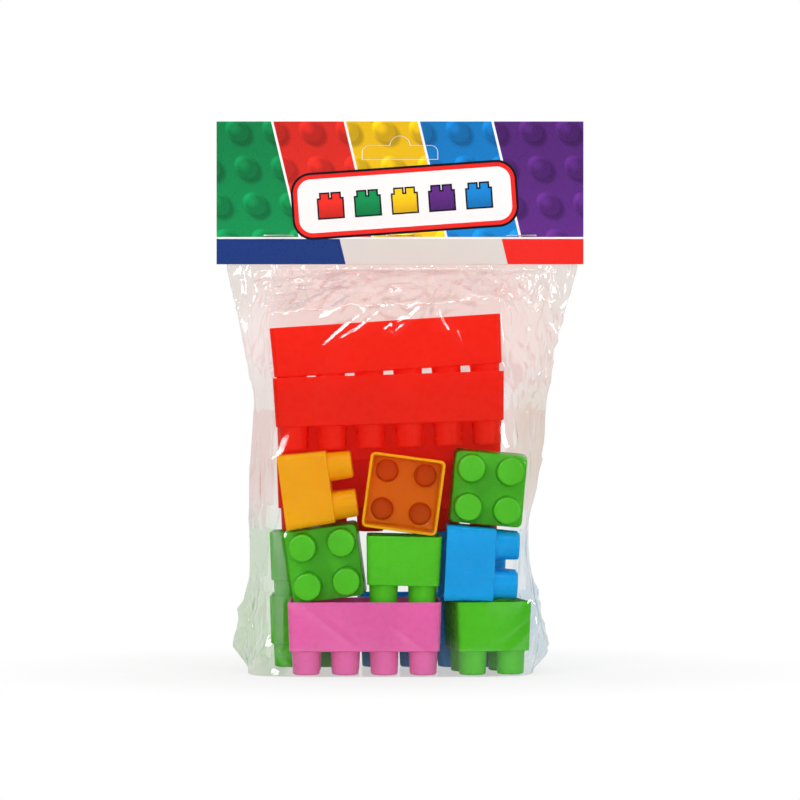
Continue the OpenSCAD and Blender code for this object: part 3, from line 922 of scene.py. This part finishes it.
def film_colour(tree, slack, x, z):
    """What the film lets through: greyer where it hangs free, with painted tints that stand in for the
    coloured light of the blocks near it.
    """
    low = z.ramp(50, 84, 1.0, 0.0)
    mid = z.ramp(60, 84) * z.ramp(110, 130, 1.0, 0.0)
    top = z.ramp(96, 150) * abs(x).ramp(44, 72, 1.0, 0.25)
    left = x.ramp(-56, -44, 1.0, 0.0)
    right = x.ramp(40, 54)
    # Painted bounced light: tints by place for the colour that the nearby blocks cast and reflect on the
    # film
    painted_bounce_tints = [
        (low * left, (0.85, 0.895, 0.815, 1)),
        (low * right, (0.885, 0.92, 0.92, 1)),
        (mid * left, (0.925, 0.875, 0.845, 1)),
        (mid * right, (0.885, 0.88, 0.82, 1)),
        (top, (0.97, 0.865, 0.84, 1)),
    ]
    colour = tree.mix(slack, (0.985, 0.98, 0.975, 1), (0.92, 0.9, 0.875, 1))
    for share, bounce_tint in painted_bounce_tints:
        colour = tree.mix(share, colour, bounce_tint)
    return colour


def film_material():
    """Clear thin film: see-through, with a sharp crinkled gloss and a haze where it hangs free."""
    tree = Tree("clear_film")
    slack = tree.attribute("slack")
    x, y, z = tree.axes()
    cloud = tree.noise(22, 3, 0.55)
    fine = tree.noise(3, 3, 0.6, twist=0.5)
    crinkle = abs(tree.noise(9, 1, 0.5, (1, 1, 0.6), 0.4) - 0.5).ramp(0.0, 0.1)
    crinkle = crinkle * slack * abs(x).ramp(16, 56, 0.35, 1.0)
    normal = tree.bump(crinkle, 0.7, 1.0, tree.bump(fine, 0.1, 0.5))
    clear = tree.shader("ShaderNodeBsdfTransparent", {"Color": film_colour(tree, slack, x, z)})
    gloss = tree.shader("ShaderNodeBsdfGlossy", {"Roughness": 0.07, "Normal": normal})
    lit = tree.shader("ShaderNodeBsdfDiffuse", {"Color": FILM_HAZE})
    through = tree.shader("ShaderNodeBsdfTranslucent", {"Color": FILM_HAZE})
    haze = tree.blend(0.4, lit, through)
    veil = tree.blend(slack * cloud.ramp(0.25, 0.75, 0.06, 0.14) + 0.002, clear, haze)
    fresnel = Field(tree.tree, tree.shader("ShaderNodeFresnel", {"IOR": 1.5, "Normal": normal}))
    return tree.finish(tree.blend((fresnel * 1.4).least(0.26), veil, gloss))


clearance = Clearance(block_boxes(True))
at_rest = Clearance(block_boxes(False))
film_points = np.stack([loose_ring(z, COARSE_COLUMNS) for z in ring_heights()])
film_points = settle(film_points, clearance, SETTLE_ROUNDS[0])
for rounds in SETTLE_ROUNDS[1:]:
    film_points = settle(finer(film_points), clearance, rounds)
film_points, film_slack = crumple(film_points)
film = film_object(film_points, film_slack)
film.data.materials.append(film_material())
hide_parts("bag_front", "bag_back")
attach(film, "bag")


# Header card

# Band colours from the left, the edges between the bands in millimetres, and their slant
BAND_COLOURS = [(0, 140, 75), (232, 38, 24), (250, 198, 0), (0, 128, 205), (92, 38, 128)]
BAND_EDGES = (-46.5, -16.0, 15.0, 46.0)
BAND_SLANT = 0.24
CARD_MIDDLE = 30.0
FOLD_Z = 59.3
SPOT_STEP = 15.4
SPOT_R = 4.8
STRIP_TOP = 11.0
STRIP_EDGES = (-30.0, 38.0)
STRIP_COLOURS = [(206, 202, 196), (20, 52, 120), (226, 30, 20)]
PLAQUE_PLACE = (2.0, 27.0)
PLAQUE_LEAN = math.radians(4)
PLAQUE_CORE = (39.0, 5.5)
# Which band colour each sign on the plaque has
SIGN_COLOURS = (1, 0, 2, 4, 3)
SIGN_STEP = 15.6
SIGN_BORDER = 0.7
SIGN_ROW_HALF = 38.0
WHITE = (0.8, 0.8, 0.79, 1)
INK = (0.006, 0.006, 0.01, 1)
LIGHT = (1, 1, 1, 1)
DARK = (0, 0, 0, 1)


def bands(tree, slanted, z):
    """Slanted colour bands with rows of shaded round studs, and white rules between them."""
    ground = linear(BAND_COLOURS[0])
    for edge, colour in zip(BAND_EDGES, BAND_COLOURS[1:]):
        ground = tree.mix(slanted.above(edge), ground, linear(colour))
    shade = (z - CARD_MIDDLE).ramp(-30, 30, 0.0, 0.28)
    ground = tree.mix(shade, ground, (0.02, 0.02, 0.05, 1), "MULTIPLY")
    across = (slanted + 0.6).repeat(SPOT_STEP)
    down = (z - 10.0).repeat(SPOT_STEP)
    spot = distance(across, down).below(SPOT_R)
    glint = distance(across + 1.2, down - 1.4)
    fall = distance(across - 1.2, down + 1.6)
    ground = tree.mix(fall.ramp(4.2, 6.4, 0.42, 0.0), ground, DARK)
    ground = tree.mix(spot * 0.25, ground, LIGHT, "OVERLAY")
    ground = tree.mix(spot * glint.ramp(0.6, 4.0, 0.6, 0.0), ground, LIGHT, "OVERLAY")
    for edge in BAND_EDGES:
        ground = tree.mix(abs(slanted - edge).below(0.5), ground, WHITE)
    return ground


def strips(tree, ground, slanted, z):
    """Three plain strips along the lower edge, under a white rule."""
    strip = z.below(STRIP_TOP)
    shares = (strip, strip * slanted.below(STRIP_EDGES[0]), strip * slanted.above(STRIP_EDGES[1]))
    for share, colour in zip(shares, STRIP_COLOURS):
        ground = tree.mix(share, ground, linear(colour))
    return tree.mix(abs(z - STRIP_TOP).below(0.4), ground, WHITE)


def plaque(tree, ground, x, z):
    """A leaning white plaque with a black and red border and a row of small block signs."""
    right = x - PLAQUE_PLACE[0]
    up = z - PLAQUE_PLACE[1]
    u = right * math.cos(PLAQUE_LEAN) + up * math.sin(PLAQUE_LEAN)
    v = up * math.cos(PLAQUE_LEAN) - right * math.sin(PLAQUE_LEAN)
    away = distance((abs(u) - PLAQUE_CORE[0]).most(0.0), (abs(v) - PLAQUE_CORE[1]).most(0.0))
    for reach, colour in ((8.6, INK), (7.6, linear(STRIP_COLOURS[2])), (5.8, WHITE)):
        ground = tree.mix(away.below(reach), ground, colour)
    sign = linear(BAND_COLOURS[SIGN_COLOURS[0]])
    for k, pick in enumerate(SIGN_COLOURS[1:]):
        edge = (k + 1 - len(SIGN_COLOURS) / 2) * SIGN_STEP
        sign = tree.mix(u.above(edge), sign, linear(BAND_COLOURS[pick]))
    sign = tree.mix(v.ramp(-6, 3, 0.35, 0.0), sign, DARK)
    place = u.repeat(SIGN_STEP)
    within = abs(u).below(SIGN_ROW_HALF)
    for border, colour in ((SIGN_BORDER, INK), (0.0, sign)):
        body = abs(place).below(5.0 + border) * abs(v + 1.4).below(3.8 + border)
        studs = abs(abs(place) - 2.4).below(1.5 + border) * abs(v - 3.4).below(1.3 + border)
        ground = tree.mix(body.most(studs) * within, ground, colour)
    return ground


def header_material():
    """White card with a print on both panels and bare cut edges below the fold."""
    tree = Tree("printed_card")
    x, y, floor_z = tree.axes()
    z = floor_z - CARD_LOW / MM
    slanted = x + (z - CARD_MIDDLE) * BAND_SLANT
    ground = strips(tree, bands(tree, slanted, z), slanted, z)
    ground = plaque(tree, ground, x, z)
    facing = tree.add("ShaderNodeSeparateXYZ")
    tree.link(tree.add("ShaderNodeTexCoord").outputs["Normal"], facing.inputs[0])
    cut = abs(Field(tree.tree, facing.outputs[1])).below(0.5) * z.below(FOLD_Z)
    fibre = tree.noise(0.6, 3, 0.6)
    wave = tree.noise(45, 2, 0.5)
    return tree.finish(tree.shader("ShaderNodeBsdfPrincipled", {
        "Base Color": tree.mix(cut, ground, WHITE),
        "Roughness": fibre.ramp(0.3, 0.7, 0.26, 0.36),
        "Normal": tree.bump(wave, 0.6, 0.3, tree.bump(fibre, 0.015, 0.4)),
        "Specular IOR Level": 0.12,
    }))


card = header_material()
for node in ("header_card", "hang_tab_front", "hang_tab_back"):
    obj = frame["nodes"][node]
    obj.data.materials.clear()
    obj.data.materials.append(card)


# Staples

STAPLE_HALF = 6.2 * MM
STAPLE_STEP = 51 * MM
STAPLE_BEND = 0.6 * MM
CLINCH = 4 * MM
WIRE_SIDES = 14


def staple_path(x, front, back, z):
    """Middle line of one staple, from one clinched end round the crown to the other."""
    path = [(x - STAPLE_HALF + CLINCH, back)]
    corners = [(-1, back, 90, 180), (-1, front, 180, 270), (1, front, 270, 360), (1, back, 0, 90)]
    for side, y, start, end in corners:
        middle_x = x + side * (STAPLE_HALF - STAPLE_BEND)
        middle_y = y - STAPLE_BEND if y == back else y + STAPLE_BEND
        for turn in arc(start, end):
            path.append((middle_x + STAPLE_BEND * math.cos(turn), middle_y + STAPLE_BEND * math.sin(turn)))
    path.append((x + STAPLE_HALF - CLINCH, back))
    return [Vector((px, py, z)) for px, py in path]


def wire(bm, path, radius):
    """A round wire along a level path, with domed ends."""
    up = Vector((0, 0, 1))
    rings = []
    last = len(path) - 1
    stations = []
    for k, point in enumerate(path):
        along = (path[min(k + 1, last)] - path[max(k - 1, 0)]).normalized()
        if k == 0:
            stations.append((point - along * radius * 0.5, along, radius * 0.6))
        stations.append((point, along, radius))
        if k == last:
            stations.append((point + along * radius * 0.5, along, radius * 0.6))
    for point, along, size in stations:
        side = along.cross(up)
        ring = []
        for k in range(WIRE_SIDES):
            turn = 2 * math.pi * k / WIRE_SIDES
            spoke = side * math.cos(turn) + up * math.sin(turn)
            ring.append(bm.verts.new(point + spoke * size))
        rings.append(ring)
    for first, second in zip(rings, rings[1:]):
        for k in range(WIRE_SIDES):
            n = (k + 1) % WIRE_SIDES
            bm.faces.new((first[k], first[n], second[n], second[k]))
    bm.faces.new(rings[0])
    bm.faces.new(rings[-1])


def steel():
    """Drawn staple wire with fine lengthwise lines."""
    tree = Tree("staple_wire")
    lines = tree.noise(0.5, 3, 0.6, stretch=(0.1, 1, 3))
    return tree.finish(tree.shader("ShaderNodeBsdfPrincipled", {
        "Base Color": tree.mix(lines.ramp(0.3, 0.7), linear((168, 170, 174)), linear((214, 214, 216))),
        "Metallic": 1.0,
        "Roughness": lines.ramp(0.3, 0.7, 0.22, 0.36),
    }))


def staples():
    """The three staples as one piece."""
    low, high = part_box("staples")
    radius = (high.z - low.z) / 2
    middle = (low.z + high.z) / 2
    bm = bmesh.new()
    for k in (-1, 0, 1):
        wire(bm, staple_path(k * STAPLE_STEP, low.y + radius, high.y - radius, middle), radius)
    bmesh.ops.recalc_face_normals(bm, faces=bm.faces)
    mesh = bpy.data.meshes.new("staple_set")
    bm.to_mesh(mesh)
    bm.free()
    mesh.shade_smooth()
    obj = bpy.data.objects.new("staple_set", mesh)
    bpy.context.scene.collection.objects.link(obj)
    obj.data.materials.append(steel())
    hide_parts("staples")
    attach(obj, "bag")


staples()


# Stage and light

FLOOR_HALF = 6.0
FLOOR_DROP = 0.2 * MM
AIM = Vector((0, 0, 0.1))
# Name, place, width and height, power, whether it lights surfaces, whether it shows in shine
LAMPS = [
    ("key", (-0.7, -1.0, 0.95), (0.4, 0.4), 6.4, True, True),
    ("fill", (0.95, -0.9, 0.5), (0.2, 0.6), 4.2, True, True),
    ("top", (0.1, -0.35, 1.1), (0.6, 0.2), 2.6, True, True),
    ("front", (0, -1.4, 0.2), (0.5, 0.5), 5.7, True, False),
    ("left_box", (-0.78, -1.05, 1.0), (0.8, 0.8), 32, False, True),
    ("right_box", (0.98, -0.92, 0.62), (0.4, 0.9), 12, False, True),
]


def rays(tree, *kinds):
    """Light path fields that are 1 on rays of each kind."""
    outputs = tree.nodes.new("ShaderNodeLightPath").outputs
    return [Field(tree, outputs["Is %s Ray" % kind]) for kind in kinds]


def stage():
    """A white floor that keeps a faint shadow close to the bag and mirrors dark in front of it."""
    side = FLOOR_HALF
    mesh = bpy.data.meshes.new("floor")
    corners = [(-side, -side, 0), (side, -side, 0), (side, side, 0), (-side, side, 0)]
    mesh.from_pydata(corners, [], [(0, 1, 2, 3)])
    floor = bpy.data.objects.new("floor", mesh)
    floor.location.z = -FLOOR_DROP
    bpy.context.scene.collection.objects.link(floor)
    tree = Tree("white_floor")
    x, y, z = tree.axes()
    seen, shiny = rays(tree.tree, "Camera", "Glossy")
    matt = tree.shader("ShaderNodeBsdfDiffuse", {"Color": (0.7, 0.7, 0.7, 1)})
    glow = tree.shader("ShaderNodeEmission", {"Strength": 1.0})
    dim = tree.shader("ShaderNodeEmission", {"Strength": 0.05})
    away = distance(x * 0.6, y)
    lit = tree.blend(seen.most(shiny) * away.ramp(45.0, 130.0, 0.74, 1.0), matt, glow)
    in_front = y.ramp(-160, -40, 1.0, 0.0)
    floor.data.materials.append(tree.finish(tree.blend(shiny * in_front, lit, dim)))


def room():
    """A white world: full white where it is seen, softer as light, dimmer in shine from the front."""
    world = bpy.data.worlds.new("white_room")
    bpy.context.scene.world = world
    world.use_nodes = True
    tree = world.node_tree
    tree.nodes.clear()
    way = tree.nodes.new("ShaderNodeSeparateXYZ")
    tree.links.new(tree.nodes.new("ShaderNodeTexCoord").outputs["Generated"], way.inputs[0])
    behind = Field(tree, way.outputs[1])
    seen, passed, shiny, soft = rays(tree, "Camera", "Transmission", "Glossy", "Diffuse")
    strength = seen.most(passed).most(shiny * behind.ramp(-0.6, 0.15, 0.02, 1.0))
    strength = strength.most(soft * behind.ramp(-0.2, 0.4, 0.2, 1.4))
    back = tree.nodes.new("ShaderNodeBackground")
    back.inputs["Color"].default_value = (1, 1, 1, 1)
    plug(tree, strength, back.inputs["Strength"])
    out = tree.nodes.new("ShaderNodeOutputWorld")
    tree.links.new(back.outputs[0], out.inputs["Surface"])


def lamp(name, place, size, power, lights, mirrored):
    """An area lamp turned to the middle of the bag."""
    data = bpy.data.lights.new(name, "AREA")
    data.shape = "RECTANGLE"
    data.size, data.size_y = size
    data.energy = power
    obj = bpy.data.objects.new(name, data)
    obj.location = place
    obj.rotation_euler = (AIM - Vector(place)).to_track_quat("-Z", "Y").to_euler()
    obj.visible_diffuse = lights
    obj.visible_glossy = mirrored
    bpy.context.scene.collection.objects.link(obj)


stage()
room()
for row in LAMPS:
    lamp(*row)
